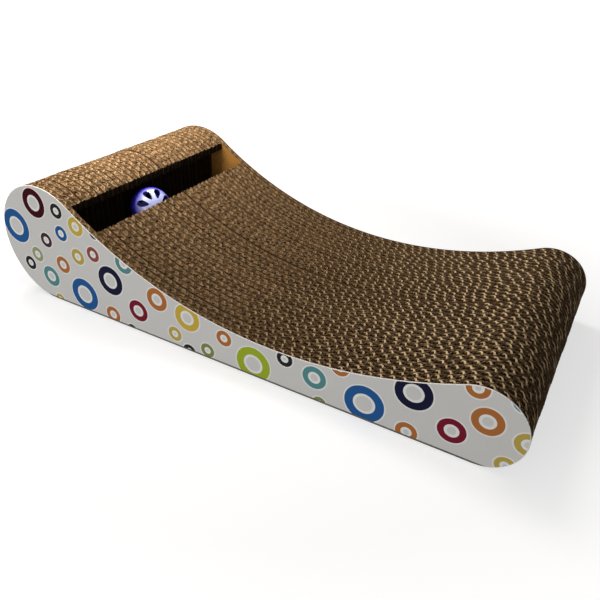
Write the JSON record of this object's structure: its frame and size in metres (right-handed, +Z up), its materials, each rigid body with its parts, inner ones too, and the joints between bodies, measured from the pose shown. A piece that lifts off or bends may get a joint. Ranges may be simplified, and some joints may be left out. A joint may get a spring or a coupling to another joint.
{
  "type": "cardboard cat scratcher",
  "caption": "Wave-shaped cat scratcher of glued corrugated cardboard sheets, with printed side panels and a slotted pocket under the raised head that traps a rolling toy ball.",
  "frame": {"origin": "centre of the object's footprint, on the floor", "axes": "+X runs from the raised head to the low toe, +Y across the sheets, +Z up"},
  "size_m": [0.467, 0.2196, 0.108],
  "materials": {
    "kraft": "raw kraft board",
    "printed_board": "matt print on kraft board",
    "ball_plastic": "glossy",
    "bell_metal": "polished",
    "pellet_steel": "plain"
  },
  "bodies": {
    "scratcher": {"near_print_sheet": "printed_board", "core_sheet_01": "kraft", "core_sheet_02": "kraft", "core_sheet_03": "kraft", "core_sheet_04": "kraft", "core_sheet_05": "kraft", "core_sheet_06": "kraft", "core_sheet_07": "kraft", "core_sheet_08": "kraft", "core_sheet_09": "kraft", "core_sheet_10": "kraft", "core_sheet_11": "kraft", "core_sheet_12": "kraft", "core_sheet_13": "kraft", "core_sheet_14": "kraft", "core_sheet_15": "kraft", "core_sheet_16": "kraft", "core_sheet_17": "kraft", "core_sheet_18": "kraft", "core_sheet_19": "kraft", "core_sheet_20": "kraft", "core_sheet_21": "kraft", "core_sheet_22": "kraft", "core_sheet_23": "kraft", "core_sheet_24": "kraft", "core_sheet_25": "kraft", "core_sheet_26": "kraft", "core_sheet_27": "kraft", "core_sheet_28": "kraft", "core_sheet_29": "kraft", "core_sheet_30": "kraft", "core_sheet_31": "kraft", "core_sheet_32": "kraft", "core_sheet_33": "kraft", "core_sheet_34": "kraft", "far_print_sheet": "printed_board"},
    "bell": {"bell_upper_shell": "bell_metal", "bell_lower_shell": "bell_metal", "bell_pellet": "pellet_steel"},
    "ball": {"ball_upper_half": "ball_plastic", "ball_lower_half": "ball_plastic"}
  },
  "joints": [
    {"name": "ball_travel", "type": "slide", "parent": "scratcher", "child": "bell", "axis": [0, 1, 0], "range_m": [-0.0655, 0.1029]},
    {"name": "ball_roll", "type": "hinge", "parent": "bell", "child": "ball", "pos_m": [-0.1403, -0.0187, 0.06671], "axis": [1, 0, 0], "range_deg": [-311, 199]}
  ],
  "couplings": [
    {"joint": "ball_roll", "follows": "ball_travel", "rad_per_m": -52.632}
  ]
}
